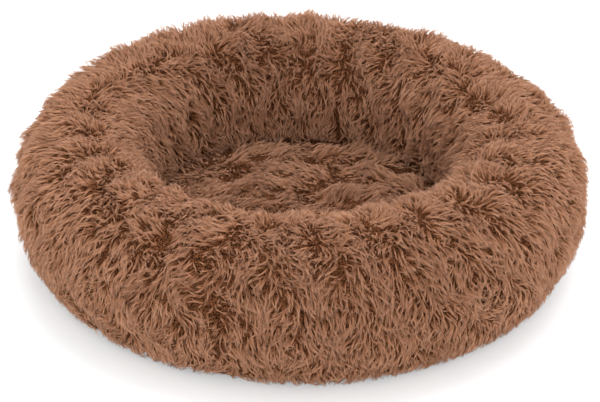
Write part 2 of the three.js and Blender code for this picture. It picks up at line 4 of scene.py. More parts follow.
import bpy
import numpy as np
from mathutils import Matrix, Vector


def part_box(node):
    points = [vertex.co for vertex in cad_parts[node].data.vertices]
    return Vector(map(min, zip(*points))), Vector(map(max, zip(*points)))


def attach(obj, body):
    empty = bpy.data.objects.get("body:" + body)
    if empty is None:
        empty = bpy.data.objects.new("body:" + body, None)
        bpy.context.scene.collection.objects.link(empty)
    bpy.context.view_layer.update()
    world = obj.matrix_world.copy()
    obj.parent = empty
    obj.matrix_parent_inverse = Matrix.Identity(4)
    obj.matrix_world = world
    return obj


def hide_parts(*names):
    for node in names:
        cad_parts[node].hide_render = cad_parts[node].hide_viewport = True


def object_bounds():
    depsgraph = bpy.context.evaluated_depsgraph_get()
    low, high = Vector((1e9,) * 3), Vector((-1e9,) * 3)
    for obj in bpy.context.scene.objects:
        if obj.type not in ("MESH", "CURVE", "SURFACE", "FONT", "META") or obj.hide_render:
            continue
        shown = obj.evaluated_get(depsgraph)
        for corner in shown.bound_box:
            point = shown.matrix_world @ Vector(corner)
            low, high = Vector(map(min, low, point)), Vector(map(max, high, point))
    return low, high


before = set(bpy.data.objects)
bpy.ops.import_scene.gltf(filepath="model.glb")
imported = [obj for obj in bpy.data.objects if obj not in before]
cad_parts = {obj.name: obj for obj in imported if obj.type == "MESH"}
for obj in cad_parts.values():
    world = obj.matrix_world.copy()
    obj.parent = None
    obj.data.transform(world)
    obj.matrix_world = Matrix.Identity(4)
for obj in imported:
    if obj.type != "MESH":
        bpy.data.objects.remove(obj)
cad_box = [list(corner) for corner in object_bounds()]

MM = 0.001
TINY = 1e-9
TURN = 2 * math.pi
BED = "bed"
rng = np.random.default_rng(20)


# Sizes read from the frame

def corners_of(node):
    return np.array([tuple(v.co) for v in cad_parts[node].data.vertices])


def rings(node):
    """Radius and height of each corner of a CAD node."""
    corners = corners_of(node)
    return np.hypot(corners[:, 0], corners[:, 1]), corners[:, 2]


def turn_range(node, low, high):
    """Least and greatest angle about +Z of a CAD node's corners between two heights."""
    corners = corners_of(node)
    chosen = corners[(corners[:, 2] > low) & (corners[:, 2] < high)]
    angles = np.arctan2(chosen[:, 1], chosen[:, 0])
    return angles.min(), angles.max()


bolster_r, bolster_z = rings("bolster_liner_top")
RIM_RADIUS = (bolster_r.max() + bolster_r.min()) / 2
BOLSTER_HALF_WIDTH = (bolster_r.max() - bolster_r.min()) / 2
BOLSTER_TOP = bolster_z.max()
BOLSTER_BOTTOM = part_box("bolster_liner_bottom")[0][2]
BOLSTER_MIDDLE = (BOLSTER_TOP + BOLSTER_BOTTOM) / 2
BOLSTER_HALF_HEIGHT = (BOLSTER_TOP - BOLSTER_BOTTOM) / 2

# The heel is where the cover is sewn to the base: the innermost of the cover's low corners
HEEL_BELOW = 30 * MM
cover_r, cover_z = rings("rim_panel_left")
heel_corner = np.where(cover_z < HEEL_BELOW, cover_r, 1).argmin()
HEEL = (cover_r[heel_corner], cover_z[heel_corner])
HEEL_LIP = 5 * MM
HEEL_WAY = math.sqrt(0.5)
BASE_UNDER = 0.8 * MM

# The zip's tape, and the cut in the base that leaves room for the zip
CUT_HEIGHTS = (9 * MM, 11 * MM)
TAPE_TURN = turn_range("zip_tape_rim", 0, HEEL_BELOW)
CUT_TURN = turn_range("base_panel", *CUT_HEIGHTS)
ZIP_MIDDLE = sum(TAPE_TURN) / 2
ZIP_HALF_TURN = (TAPE_TURN[1] - TAPE_TURN[0]) / 2

well_r, well_z = rings("well_panel")
WELL_SEAM = (well_r.max(), well_z[well_r.argmax()])
COVER_DEPTH = 20 * MM
WELL_CROWN = well_z.max() - COVER_DEPTH - WELL_SEAM[1]

# The frame's own form, as part.mjs gives it
OVAL_POWER = 2.2
COVER_FIT = 1 * MM
SEAM_TURN = math.radians(-15)
SEAM_DIP = 7 * MM
SEAM_DIP_REACH = 45 * MM
LUMP_DIP = 3 * MM
LUMPS_PER_PANEL = 4
TUFT_SPACING = 58 * MM
TUFT_DIP = 11 * MM
TUFT_FULL_SHARE = 0.45
TUFT_WAYS = math.pi * np.array([0.04, 0.27, 0.46, 0.63, 0.82])
TUFT_PHASES = TURN * np.array([0.1, 0.7, 0.4, 0, 0.55])
TUFT_FADE = 30 * MM


# Materials

# How far apart the bands of a wave texture of scale 1 are
WAVE_PERIOD = math.pi / 10


def new_material(name):
    material = bpy.data.materials.new(name)
    material.use_nodes = True
    nodes = material.node_tree.nodes
    return material, nodes, material.node_tree.links, nodes["Principled BSDF"]


def ramp(nodes, links, value, stops):
    """A colour ramp over a value; each stop is (position, colour)."""
    node = nodes.new("ShaderNodeValToRGB")
    elements = node.color_ramp.elements
    while len(elements) < len(stops):
        elements.new(0.5)
    for element, (position, colour) in zip(elements, stops):
        element.position = position
        element.color = (*colour, 1)
    links.new(value, node.inputs["Fac"])
    return node.outputs["Color"]


def attribute(nodes, name):
    node = nodes.new("ShaderNodeAttribute")
    node.attribute_name = name
    return node.outputs["Fac"]


def multiply_colours(nodes, links, first, second):
    node = nodes.new("ShaderNodeMix")
    node.data_type = "RGBA"
    node.blend_type = "MULTIPLY"
    node.inputs["Factor"].default_value = 1
    links.new(first, node.inputs["A"])
    links.new(second, node.inputs["B"])
    return node.outputs["Result"]


def multiply(nodes, links, first, second):
    node = nodes.new("ShaderNodeMath")
    node.operation = "MULTIPLY"
    links.new(first, node.inputs[0])
    links.new(second, node.inputs[1])
    return node.outputs[0]


def noise(nodes, links, scale, detail=3):
    place = nodes.new("ShaderNodeTexCoord")
    node = nodes.new("ShaderNodeTexNoise")
    node.inputs["Scale"].default_value = scale
    node.inputs["Detail"].default_value = detail
    links.new(place.outputs["Object"], node.inputs["Vector"])
    return node.outputs["Fac"]


def wave(nodes, links, direction, scale):
    place = nodes.new("ShaderNodeTexCoord")
    node = nodes.new("ShaderNodeTexWave")
    node.bands_direction = direction
    node.inputs["Scale"].default_value = scale
    links.new(place.outputs["Object"], node.inputs["Vector"])
    return node.outputs["Fac"]


def bump(nodes, links, height, shader, strength, distance):
    node = nodes.new("ShaderNodeBump")
    node.inputs["Strength"].default_value = strength
    node.inputs["Distance"].default_value = distance
    links.new(height, node.inputs["Height"])
    links.new(node.outputs["Normal"], shader.inputs["Normal"])


def strand_material():
    """Fur colour from each strand's own shade and the place along it, with painted shade at the
    root.
    """
    material, nodes, links, shader = new_material("fur_strands")
    # The paler tips are the fur's own colour; the dark towards the root is painted shade of the
    # deep pile.
    along = ramp(nodes, links, attribute(nodes, "along"), [
        (0.0, (0.045, 0.016, 0.006)),
        (0.28, (0.23, 0.09, 0.038)),
        (0.6, (0.53, 0.273, 0.158)),
        (1.0, (0.58, 0.345, 0.238)),
    ])
    shade = ramp(nodes, links, attribute(nodes, "shade"), [
        (0.0, (0.58, 0.5, 0.44)),
        (0.5, (0.84, 0.81, 0.79)),
        (1.0, (1.0, 1.0, 1.0)),
    ])
    links.new(multiply_colours(nodes, links, along, shade), shader.inputs["Base Color"])
    shader.inputs["Roughness"].default_value = 0.55
    shader.inputs["Specular IOR Level"].default_value = 0.06
    return material


def undercoat_material():
    """The dense underfur between the strands: short brown hair, mottled with near-black painted
    shade of the deep gaps.
    """
    material, nodes, links, shader = new_material("fur_undercoat")
    tone = noise(nodes, links, scale=620, detail=5)
    # The brown end is the underfur's own colour; the near-black end is painted shade of the gaps
    # between locks.
    colour = ramp(nodes, links, tone, [(0.44, (0.01, 0.004, 0.002)), (0.6, (0.165, 0.062, 0.027))])
    links.new(colour, shader.inputs["Base Color"])
    shader.inputs["Roughness"].default_value = 1
    shader.inputs["Specular IOR Level"].default_value = 0
    bump(nodes, links, tone, shader, strength=0.9, distance=2.5 * MM)
    return material


def woven_material(name, dark, light, threads_per_metre, roughness=0.8):
    """A plain weave: two crossed waves, with a slow change of tone."""
    material, nodes, links, shader = new_material(name)
    scale = threads_per_metre * WAVE_PERIOD
    weave = multiply(nodes, links, wave(nodes, links, "X", scale), wave(nodes, links, "Y", scale))
    tone = multiply(nodes, links, weave, noise(nodes, links, scale=30))
    colour = ramp(nodes, links, tone, [(0.0, dark), (0.6, light)])
    links.new(colour, shader.inputs["Base Color"])
    shader.inputs["Roughness"].default_value = roughness
    bump(nodes, links, weave, shader, strength=0.5, distance=0.3 * MM)
    return material


def speckled_material(name, dark, light, scale, roughness, metallic=0.0, depth=0.1 * MM):
    """A plain finish with a fine change of tone and a slight unevenness."""
    material, nodes, links, shader = new_material(name)
    colour = ramp(nodes, links, noise(nodes, links, scale), [(0.35, dark), (0.65, light)])
    links.new(colour, shader.inputs["Base Color"])
    shader.inputs["Roughness"].default_value = roughness
    shader.inputs["Metallic"].default_value = metallic
    bump(nodes, links, noise(nodes, links, scale * 4), shader, strength=0.3, distance=depth)
    return material


# Meshes

def mesh_object(name, places, faces, material, smooth=True):
    """faces is an array of corner indexes, three or four to a face."""
    mesh = bpy.data.meshes.new(name)
    places = np.asarray(places, dtype=np.float32)
    faces = np.asarray(faces, dtype=np.int32)
    count, sides = faces.shape
    mesh.vertices.add(len(places))
    mesh.vertices.foreach_set("co", places.ravel())
    mesh.loops.add(count * sides)
    mesh.loops.foreach_set("vertex_index", faces.ravel())
    mesh.polygons.add(count)
    mesh.polygons.foreach_set("loop_start", np.arange(count, dtype=np.int32) * sides)
    mesh.polygons.foreach_set("use_smooth", np.full(count, smooth))
    mesh.update(calc_edges=True)
    mesh.materials.append(material)
    piece = bpy.data.objects.new(name, mesh)
    bpy.context.scene.collection.objects.link(piece)
    return piece


def tube_faces(rows, columns, wrap_rows=False):
    """Faces of a grid of corners, numbered row by row. Each row is a closed loop."""
    i = np.arange(rows if wrap_rows else rows - 1)[:, None]
    j = np.arange(columns)[None, :]
    next_i = (i + 1) % rows
    next_j = (j + 1) % columns
    corners = [
        i * columns + j,
        next_i * columns + j,
        next_i * columns + next_j,
        i * columns + next_j,
    ]
    return np.stack([np.broadcast_to(c, (i.size, j.size)).ravel() for c in corners], axis=1)


# The rim's backing, as a profile that is swept about +Z

PROFILE_STEP = 2 * MM
PROFILE_POINTS = 160
PROFILE_ROUNDINGS = 3
CORNER_CUT = 0.25
FLANK_TURN = math.radians(-25)
INNER_TURN = math.radians(185)
WELL_LEAN = 0.5
WELL_LEAN_REACH = 30 * MM


def oval(half_width, half_height, turn):
    across = np.cos(turn)
    up = np.sin(turn)
    r = RIM_RADIUS + half_width * np.sign(across) * np.abs(across) ** (2 / OVAL_POWER)
    z = BOLSTER_MIDDLE + half_height * np.sign(up) * np.abs(up) ** (2 / OVAL_POWER)
    return r, z


def cut_corners(line):
    """The line with its corners cut off, and its two ends kept."""
    near = line[:-1] * (1 - CORNER_CUT) + line[1:] * CORNER_CUT
    far = line[:-1] * CORNER_CUT + line[1:] * (1 - CORNER_CUT)
    return np.concatenate([[line[0]], np.column_stack([near, far]).ravel(), [line[-1]]])


def backing_profile():
    """Evenly spaced points of the backing: from the heel, over the crest, to the well's seam."""
    turn = np.linspace(FLANK_TURN, INNER_TURN, PROFILE_POINTS)
    r, z = oval(BOLSTER_HALF_WIDTH + COVER_FIT, BOLSTER_HALF_HEIGHT + COVER_FIT, turn)
    lip = HEEL_LIP * HEEL_WAY
    r = np.concatenate([[HEEL[0], HEEL[0] + lip], r, [WELL_SEAM[0]]])
    z = np.concatenate([[HEEL[1], HEEL[1] + lip], z, [WELL_SEAM[1]]])
    for _ in range(PROFILE_ROUNDINGS):
        r = cut_corners(r)
        z = cut_corners(z)
    length = np.concatenate([[0], np.cumsum(np.hypot(np.diff(r), np.diff(z)))])
    even = np.arange(0, length[-1], PROFILE_STEP)
    return even, np.interp(even, length, r), np.interp(even, length, z)


def outward_ways(lengths, r, z):
    """Ways out of the backing. At the well's seam they turn upwards, as the well's pile does."""
    out_r = np.gradient(z, lengths)
    out_z = -np.gradient(r, lengths)
    at_well = np.clip(1 - (lengths[-1] - lengths) / WELL_LEAN_REACH, 0, 1)
    out_z = out_z + at_well * WELL_LEAN
    size = np.hypot(out_r, out_z)
    return out_r / size, out_z / size


profile_s, profile_r, profile_z = backing_profile()
normal_r, normal_z = outward_ways(profile_s, profile_r, profile_z)
RIM_LENGTH = profile_s[-1]


# Fields over the rim. A place on it is an angle about +Z and a length along the backing.

def turn_from(angle, start):
    return np.mod(angle - start + math.pi, TURN) - math.pi


def offset_from(angle, length, centre_angle, centre_length):
    """How far a place lies from another, round the rim and along the backing."""
    radius = np.interp(length, profile_s, profile_r)
    return turn_from(angle, centre_angle) * radius, length - centre_length


def ripple(waves, size, seed):
    """A smooth random field over the rim, about -1 to 1, that joins up round the ring."""
    own = np.random.default_rng(seed)
    ways = own.uniform(0, math.pi, waves)
    around = np.round(TURN * RIM_RADIUS / size * np.cos(ways))
    along = TURN / size * np.sin(ways)
    phases = own.uniform(0, TURN, waves)

    def at(angle, length):
        total = sum(np.sin(a * angle + b * length + c) for a, b, c in zip(around, along, phases))
        return total * math.sqrt(2 / waves)
    return at


broad_swirl = ripple(waves=9, size=150 * MM, seed=1)
fine_swirl = ripple(waves=12, size=60 * MM, seed=2)
upset_across = ripple(waves=12, size=36 * MM, seed=3)
upset_along = ripple(waves=12, size=36 * MM, seed=4)
underfur = ripple(waves=14, size=22 * MM, seed=5)
tuft_across = ripple(waves=16, size=26 * MM, seed=6)
tuft_along = ripple(waves=16, size=26 * MM, seed=7)

# Strands are shorn at the zip so that its slider has room, and the pile there is lower
STRAND_LENGTH = 28 * MM
SHORN_LENGTH = 6.5 * MM
ZIP_GROOVE = 5 * MM
ZIP_FADE = math.radians(4)
ZIP_LOWERED = 0.35
ZIP_LOWERED_REACH = 45 * MM
ZIP_OVERHANG = 1 * MM


def zip_near(angle):
    """1 at the zip and 0 away from it."""
    past = np.abs(turn_from(angle, ZIP_MIDDLE)) - ZIP_HALF_TURN
    return np.clip(1 - past / ZIP_FADE, 0, 1)


def rim_strand_lengths(angle, length):
    free = np.clip(length - ZIP_GROOVE, SHORN_LENGTH, STRAND_LENGTH)
    return STRAND_LENGTH + (free - STRAND_LENGTH) * zip_near(angle)


def tuft_dip(angle, length):
    """How far the pile is drawn in between tufts: the same waves that shape the frame's rim."""
    around = np.round(TURN * RIM_RADIUS / TUFT_SPACING * np.cos(TUFT_WAYS))
    along = TURN / TUFT_SPACING * np.sin(TUFT_WAYS)
    length = length - HEEL_LIP
    rise = sum(np.cos(a * angle + b * length + c) for a, b, c in zip(around, along, TUFT_PHASES))
    return TUFT_DIP * np.maximum(TUFT_FULL_SHARE - rise / len(TUFT_WAYS), 0)


def seam_distance(angle):
    from_seam = np.mod(angle - math.pi / 2 - SEAM_TURN, math.pi)
    return np.minimum(from_seam, math.pi - from_seam)


def cover_depth(angle, length):
    """Depth of the pile: full on the tufts, less between them, between lumps and at the seams."""
    away = seam_distance(angle)
    seam = SEAM_DIP * np.exp(-((away * cad_box[1][0] / SEAM_DIP_REACH) ** 2))
    lump = LUMP_DIP * (1 + np.cos(2 * LUMPS_PER_PANEL * away)) / 2
    fade = np.clip(np.minimum(length, RIM_LENGTH - length) / TUFT_FADE, 0, 1)
    return COVER_DEPTH - np.maximum(np.maximum(seam, lump), fade * tuft_dip(angle, length))


# The parting on the crest, from which the pile falls both ways: shares of the backing's length
PARTING = 0.585
PARTING_WIDTH = 0.11
CREST_LYING = 0.5
LEAST_LYING = 0.82
FINE_SWIRL = 0.45
BROAD_SWIRL = 0.4

# The pile is swept away from both seams
SEAM_SWEEP = 0.7
SEAM_SWEEP_WIDTH = 6 * MM
SEAM_SWEEP_REACH = 26 * MM

# One whorl in a dent at the front left, with upset pile and fewer locks round it
WHORL_ANGLE = -math.pi / 2 + SEAM_TURN - math.radians(5)
WHORL_LENGTH = 104 * MM
WHORL_CORE = 1 * MM
WHORL_REACH = 36 * MM
WHORL_PULL = 2.2
WHORL_SPREAD = 0.2
WHORL_DENT = 11 * MM
WHORL_DENT_REACH = 28 * MM
UPSET = 1.3
UPSET_REACH = 52 * MM
THIN_ANGLE = math.radians(-107)
THIN_LENGTH = 110 * MM
THIN_REACH = 45 * MM
THINNED = 0.5

# The pile is lower at the heel, and the rim stands fuller at the back left
HEEL_DEPTH = 0.5
HEEL_DEPTH_REACH = 78 * MM
SWELL = 8 * MM
SWELL_ANGLE = math.radians(112)
SWELL_REACH = math.radians(38)

LEAST_FLOW = 1e-6


def rim_flow(angle, length):
    """The way the pile lies: away from the parting and the seams, with swirls and the whorl."""
    lie = np.tanh((length / RIM_LENGTH - PARTING) / PARTING_WIDTH)
    across = FINE_SWIRL * fine_swirl(angle, length)
    along = lie + BROAD_SWIRL * broad_swirl(angle, length)

    off_seam = (np.mod(angle - SEAM_TURN, math.pi) - math.pi / 2) * RIM_RADIUS
    sweep = SEAM_SWEEP * np.exp(-np.abs(off_seam) / SEAM_SWEEP_REACH)
    across = across + sweep * np.tanh(off_seam / SEAM_SWEEP_WIDTH)

    x, y = offset_from(angle, length, WHORL_ANGLE, WHORL_LENGTH)
    distance = np.hypot(x, y) + WHORL_CORE
    pull = WHORL_PULL * np.exp(-((distance / WHORL_REACH) ** 2))
    across = across + pull * (x * WHORL_SPREAD - y) / distance
    along = along + pull * (y * WHORL_SPREAD + x) / distance
    upset = UPSET * np.exp(-((distance / UPSET_REACH) ** 2))
    across = across + upset * upset_across(angle, length)
    along = along + upset * upset_along(angle, length)

    size = np.hypot(across, along) + LEAST_FLOW
    least = CREST_LYING + (LEAST_LYING - CREST_LYING) * np.abs(lie)
    lying = np.clip(size, least, 1) / size
    return across * lying, along * lying


def rim_depth(angle, length):
    """The cover's depth with the swell, lower at the heel and the zip, and the whorl's dent."""
    swell = SWELL * np.exp(-((turn_from(angle, SWELL_ANGLE) / SWELL_REACH) ** 2))
    x, y = offset_from(angle, length, WHORL_ANGLE, WHORL_LENGTH)
    dent = WHORL_DENT * np.exp(-(x ** 2 + y ** 2) / WHORL_DENT_REACH ** 2)
    heel = np.clip(HEEL_DEPTH + (1 - HEEL_DEPTH) * length / HEEL_DEPTH_REACH, HEEL_DEPTH, 1)
    by_zip = zip_near(angle) * np.clip(1 - length / ZIP_LOWERED_REACH, 0, 1)
    full = cover_depth(angle, length) + swell * np.sin(math.pi * length / RIM_LENGTH)
    return full * heel * (1 - ZIP_LOWERED * by_zip) - dent


def rim_advance(angle, length, across, along):
    """The place reached from another one. Beside the zip no pile is let on over the zip."""
    radius = np.interp(length, profile_s, profile_r)
    angle = angle + across / radius
    least = -ZIP_OVERHANG - (1 - zip_near(angle)) * 2 * STRAND_LENGTH
    return angle, np.maximum(length + along, least)


def rim_place(angle, length, height):
    """Places at a height over the backing, and the ways out of it. Past the heel it turns under."""
    below = np.minimum(length, 0) * HEEL_WAY
    over = np.maximum(length - RIM_LENGTH, 0)
    r = np.interp(length, profile_s, profile_r) - over + below
    z = np.interp(length, profile_s, profile_z) + below
    out_r = np.interp(length, profile_s, normal_r)
    out_z = np.interp(length, profile_s, normal_z)
    r = r + out_r * height
    z = z + out_z * height
    cosine = np.cos(angle)
    sine = np.sin(angle)
    places = np.stack([r * cosine, r * sine, z], axis=-1)
    outs = np.stack([out_r * cosine, out_r * sine, out_z], axis=-1)
    return places, outs


# Fields over the well, where a place is x and y

WELL_WAY = -1.2
WELL_BROAD_TURN = 1.2
WELL_FINE_TURN = 0.5


def well_advance(x, y, across, along):
    return x + across, y + along


def well_place(x, y, height):
    radius = np.hypot(x, y)
    z = WELL_SEAM[1] + WELL_CROWN * (1 - (radius / WELL_SEAM[0]) ** 2) + height
    places = np.stack([x, y, z], axis=-1)
    return places, np.broadcast_to(np.array([0.0, 0.0, 1.0]), places.shape)


def well_flow(x, y):
    angle = x / RIM_RADIUS
    broad = WELL_BROAD_TURN * broad_swirl(angle, y)
    turn = broad + WELL_FINE_TURN * fine_swirl(angle, y) + WELL_WAY
    return np.cos(turn), np.sin(turn)


def well_depth(x, y):
    return COVER_DEPTH - tuft_dip(x / RIM_RADIUS, y)


# What strand_places needs of each surface; the last item turns its first coordinate into an angle
RIM_SURFACE = (rim_advance, rim_place, rim_flow, rim_depth, 1)
WELL_SURFACE = (well_advance, well_place, well_flow, well_depth, RIM_RADIUS)


# Fur. Locks of strands draw together towards the tip, and lean into tufts.

RIM_SECTORS = 20
WELL_PARTS = 5
LOCK_SPACING = 4.2 * MM
ROW_SPREAD = 1.07
ROW_CREST_SPREAD = 0.55
ROW_CREST_WIDTH = 0.09
WELL_SPACING = 3.95 * MM
ROOT_JITTER = 0.45
THINNING_SEED = 8

STRANDS_PER_LOCK = 4
LOCK_REACH = 2.4 * MM
LOCK_LENGTHS = (0.4, 1.08)
LOCK_HEIGHTS = (0.6, 1.2)
LOCK_STRAY = 0.32
LOCK_CURL = 0.16
LOCK_SHADES = (2.2, 2.0)
STRAND_SHADE = 0.2
TUFT_LEAN = 2.4 * MM
TUFT_LEAN_POWER = 1.5

# Along a strand: draw to its lock's middle, rise to full depth, and width of each segment
SEGMENTS = 4
LOCK_DRAW = np.array([1.0, 0.84, 0.56, 0.28, 0.1])
RISE = np.array([0.05, 0.38, 0.66, 0.86, 1.0])
TAPER = np.array([1.0, 1.0, 0.8, 0.5])
STRAND_HALF_WIDTH = 0.42 * MM
STRAND_TURNS = math.pi * np.array([1 / 2, 7 / 6, 11 / 6])
STRAND_SIDES = len(STRAND_TURNS)
LEAST_REACH = 0.78
SIDE_WAVE = 0.9 * MM
SIDE_WAVE_TURNS = 0.8
SIDE_STRAY = 0.9 * MM
HEIGHT_STRAY = 0.8 * MM
FLOOR_CLEAR = 1.5 * MM
FLOOR_STRAY = 2.5 * MM
FLOOR_TUCK = 0.8

# In the baked map a strand lies across at its shade and upwards along its length
UV_MARGIN = 0.02
UV_BAND = 0.0025
UV_ROOT_LIFT = 0.015


def lock_paths(u, v, advance, flow, length):
    """Each lock's middle line on the surface, and its way there, step by step."""
    path = [(u, v)]
    ways = []
    stray_u, stray_v = rng.normal(0, LOCK_STRAY, (2, len(u)))
    curl = rng.normal(0, LOCK_CURL, len(u))
    for step in range(SEGMENTS + 1):
        at_u, at_v = path[-1]
        way_u, way_v = flow(at_u, at_v)
        bend = curl * step
        way_u = way_u + stray_u
        way_v = way_v + stray_v
        across = way_u * np.cos(bend) - way_v * np.sin(bend)
        along = way_u * np.sin(bend) + way_v * np.cos(bend)
        ways.append((across, along))
        path.append(advance(at_u, at_v, across * length / SEGMENTS, along * length / SEGMENTS))
    path_u, path_v = (np.stack([place[k] for place in path[:-1]], axis=1) for k in (0, 1))
    ways_u, ways_v = (np.stack([way[k] for way in ways], axis=1) for k in (0, 1))
    return path_u, path_v, ways_u, ways_v


def disc_offsets(count, reach):
    turn = rng.uniform(0, TURN, count)
    distance = reach * np.sqrt(rng.uniform(0, 1, count))
    return distance * np.cos(turn), distance * np.sin(turn)


def lie_on_floor(places, floor):
    """Lifts what is below the floor's level, and tucks it in towards the axis as far."""
    below = np.maximum(floor - places[..., 2], 0)
    radius = np.hypot(places[..., 0], places[..., 1]) + TINY
    places[..., :2] *= (1 - FLOOR_TUCK * below / radius)[..., None]
    places[..., 2] += below
    return places


def strand_places(root_u, root_v, lengths, advance, place, flow, depth, spread):
    """Places of every strand's points, the ways out of the surface there, and each one's lock."""
    locks = len(root_u)
    strands = locks * STRANDS_PER_LOCK
    lengths = lengths * rng.uniform(*LOCK_LENGTHS, locks)
    path_u, path_v, ways_u, ways_v = lock_paths(root_u, root_v, advance, flow, lengths)
    lock_of = np.repeat(np.arange(locks), STRANDS_PER_LOCK)
    strand_u, strand_v = disc_offsets(strands, LOCK_REACH)
    reach = rng.uniform(LEAST_REACH, 1.0, strands)

    at = np.linspace(0, 1, SEGMENTS + 1)[None, :] * reach[:, None] * SEGMENTS
    low = np.minimum(at.astype(int), SEGMENTS - 1)
    part = at - low
    row = lock_of[:, None]

    def along_path(values):
        return values[row, low] * (1 - part) + values[row, low + 1] * part

    u = along_path(path_u)
    v = along_path(path_v)
    way_u = along_path(ways_u)
    way_v = along_path(ways_v)

    share = np.linspace(0, 1, SEGMENTS + 1)[None, :]
    phase = rng.uniform(0, TURN, locks)[lock_of][:, None]
    side = SIDE_WAVE * np.sin(phase + share * TURN * SIDE_WAVE_TURNS) * share
    side = side + rng.normal(0, SIDE_STRAY, strands)[:, None] * share ** 2
    lean = TUFT_LEAN * share ** TUFT_LEAN_POWER
    lean_u = lean * tuft_across(root_u / spread, root_v)[lock_of][:, None]
    lean_v = lean * tuft_along(root_u / spread, root_v)[lock_of][:, None]
    u, v = advance(
        u, v,
        strand_u[:, None] * LOCK_DRAW - way_v * side + lean_u,
        strand_v[:, None] * LOCK_DRAW + way_u * side + lean_v)

    lock_high = rng.uniform(*LOCK_HEIGHTS, locks)[lock_of]
    height = depth(u, v) * lock_high[:, None] * RISE
    height = height + rng.uniform(-HEIGHT_STRAY, HEIGHT_STRAY, strands)[:, None] * share
    places, outs = place(u, v, height)
    floor = FLOOR_CLEAR + rng.uniform(0, FLOOR_STRAY, strands)[:, None]
    return lie_on_floor(places, floor), outs, lock_of


def strand_points(places, outs):
    """Corners of each strand: one for each side at every step, and the tip."""
    ahead = np.gradient(places, axis=1)
    ahead = ahead / (np.linalg.norm(ahead, axis=-1, keepdims=True) + TINY)
    side = np.cross(ahead, outs)
    side = side / (np.linalg.norm(side, axis=-1, keepdims=True) + TINY)
    up = np.cross(side, ahead)
    width = (STRAND_HALF_WIDTH * TAPER)[None, :, None]
    corners = []
    for turn in STRAND_TURNS:
        offset = side[:, :SEGMENTS] * math.cos(turn) + up[:, :SEGMENTS] * math.sin(turn)
        corners.append(places[:, :SEGMENTS] + offset * width)
    ring = np.stack(corners, axis=2).reshape(len(places), SEGMENTS * STRAND_SIDES, 3)
    return np.concatenate([ring, places[:, SEGMENTS:]], axis=1)


def strand_faces():
    """Faces of one closed strand; the first closes its root."""
    faces = [list(range(STRAND_SIDES))]
    for k in range(SEGMENTS - 1):
        for j in range(STRAND_SIDES):
            a = k * STRAND_SIDES + j
            b = k * STRAND_SIDES + (j + 1) % STRAND_SIDES
            faces.append([a, a + STRAND_SIDES, b])
            faces.append([b, a + STRAND_SIDES, b + STRAND_SIDES])
    last = (SEGMENTS - 1) * STRAND_SIDES
    tip = SEGMENTS * STRAND_SIDES
    for j in range(STRAND_SIDES):
        faces.append([last + j, tip, last + (j + 1) % STRAND_SIDES])
    return np.array(faces)


def fur_piece(name, places, outs, shade, material):
    """One mesh of closed three-sided strands that taper to a point."""
    strands = len(places)
    points = strand_points(places, outs)
    per_strand = points.shape[1]
    faces = strand_faces()
    starts = np.arange(strands)[:, None, None] * per_strand
    all_faces = (faces[None] + starts).reshape(-1, 3)
    piece = mesh_object(name, points.reshape(-1, 3), all_faces, material)

    along = np.concatenate([np.repeat(np.arange(SEGMENTS), STRAND_SIDES), [SEGMENTS]]) / SEGMENTS
    mesh = piece.data
    values_of = {"along": np.tile(along, strands), "shade": np.repeat(shade, per_strand)}
    for label, values in values_of.items():
        layer = mesh.attributes.new(label, "FLOAT", "POINT")
        layer.data.foreach_set("value", values.astype(np.float32))

    room = 1 - 2 * UV_MARGIN
    band = np.concatenate([np.tile([-UV_BAND, 0, UV_BAND], SEGMENTS), [0]])
    u = (UV_MARGIN + room * shade)[:, None] + band[None, :]
    v = np.tile(along * room + UV_MARGIN, (strands, 1))
    loops_uv = np.stack([u, v], axis=-1).reshape(-1, 2)[all_faces.ravel()]
    # The root's face would have no area in the map, so one of its corners is lifted
    roots = np.arange(strands) * len(faces) * 3
    loops_uv[roots, 1] += UV_ROOT_LIFT
    layer = mesh.uv_layers.new(name="OFBake")
    layer.uv.foreach_set("vector", loops_uv.astype(np.float32).ravel())
    return piece


def root_rows():
    """Lengths along the backing of the rows of locks, closer where the crest's pile parts."""
    rows = []
    length = 0
    while length < RIM_LENGTH:
        rows.append(length)
        near = math.exp(-(((length / RIM_LENGTH - PARTING) / ROW_CREST_WIDTH) ** 2))
        length += LOCK_SPACING * (ROW_SPREAD - (ROW_SPREAD - ROW_CREST_SPREAD) * near)
    return rows


def jitter(count):
    return rng.uniform(-ROOT_JITTER, ROOT_JITTER, count)


def rim_roots():
    """Roots of the locks over the whole rim: fewer by the whorl, and none at the zip."""
    angles = []
    lengths = []
    for length in root_rows():
        radius = float(np.interp(length, profile_s, profile_r)) + COVER_DEPTH / 2
        count = int(TURN * radius / LOCK_SPACING)
        angles.append((np.arange(count) + jitter(count) + rng.uniform()) * TURN / count)
        lengths.append(length + jitter(count) * LOCK_SPACING)
    angles = np.mod(np.concatenate(angles), TURN)
    lengths = np.clip(np.concatenate(lengths), 0, RIM_LENGTH)
    x, y = offset_from(angles, lengths, THIN_ANGLE, THIN_LENGTH)
    thinned = THINNED * np.exp(-(x ** 2 + y ** 2) / THIN_REACH ** 2)
    kept = np.random.default_rng(THINNING_SEED).uniform(0, 1, len(angles)) > thinned
    kept &= (lengths > ZIP_GROOVE) | (zip_near(angles) < 0.5)
    return angles[kept], lengths[kept]


def well_roots():
    side = np.arange(-WELL_SEAM[0], WELL_SEAM[0], WELL_SPACING)
    x, y = np.meshgrid(side, side)
    x = x.ravel() + jitter(x.size) * WELL_SPACING
    y = y.ravel() + jitter(y.size) * WELL_SPACING
    inside = np.hypot(x, y) < WELL_SEAM[0] - COVER_DEPTH
    return x[inside], y[inside]


def add_fur_piece(name, material, u, v, lengths, surface):
    places, outs, lock_of = strand_places(u, v, lengths, *surface)
    lock_shade = rng.beta(*LOCK_SHADES, lock_of.max() + 1)[lock_of]
    shade = lock_shade * (1 - STRAND_SHADE) + rng.uniform(0, STRAND_SHADE, len(lock_of))
    piece = fur_piece(name, places, outs, shade, material)
    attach(piece, BED)


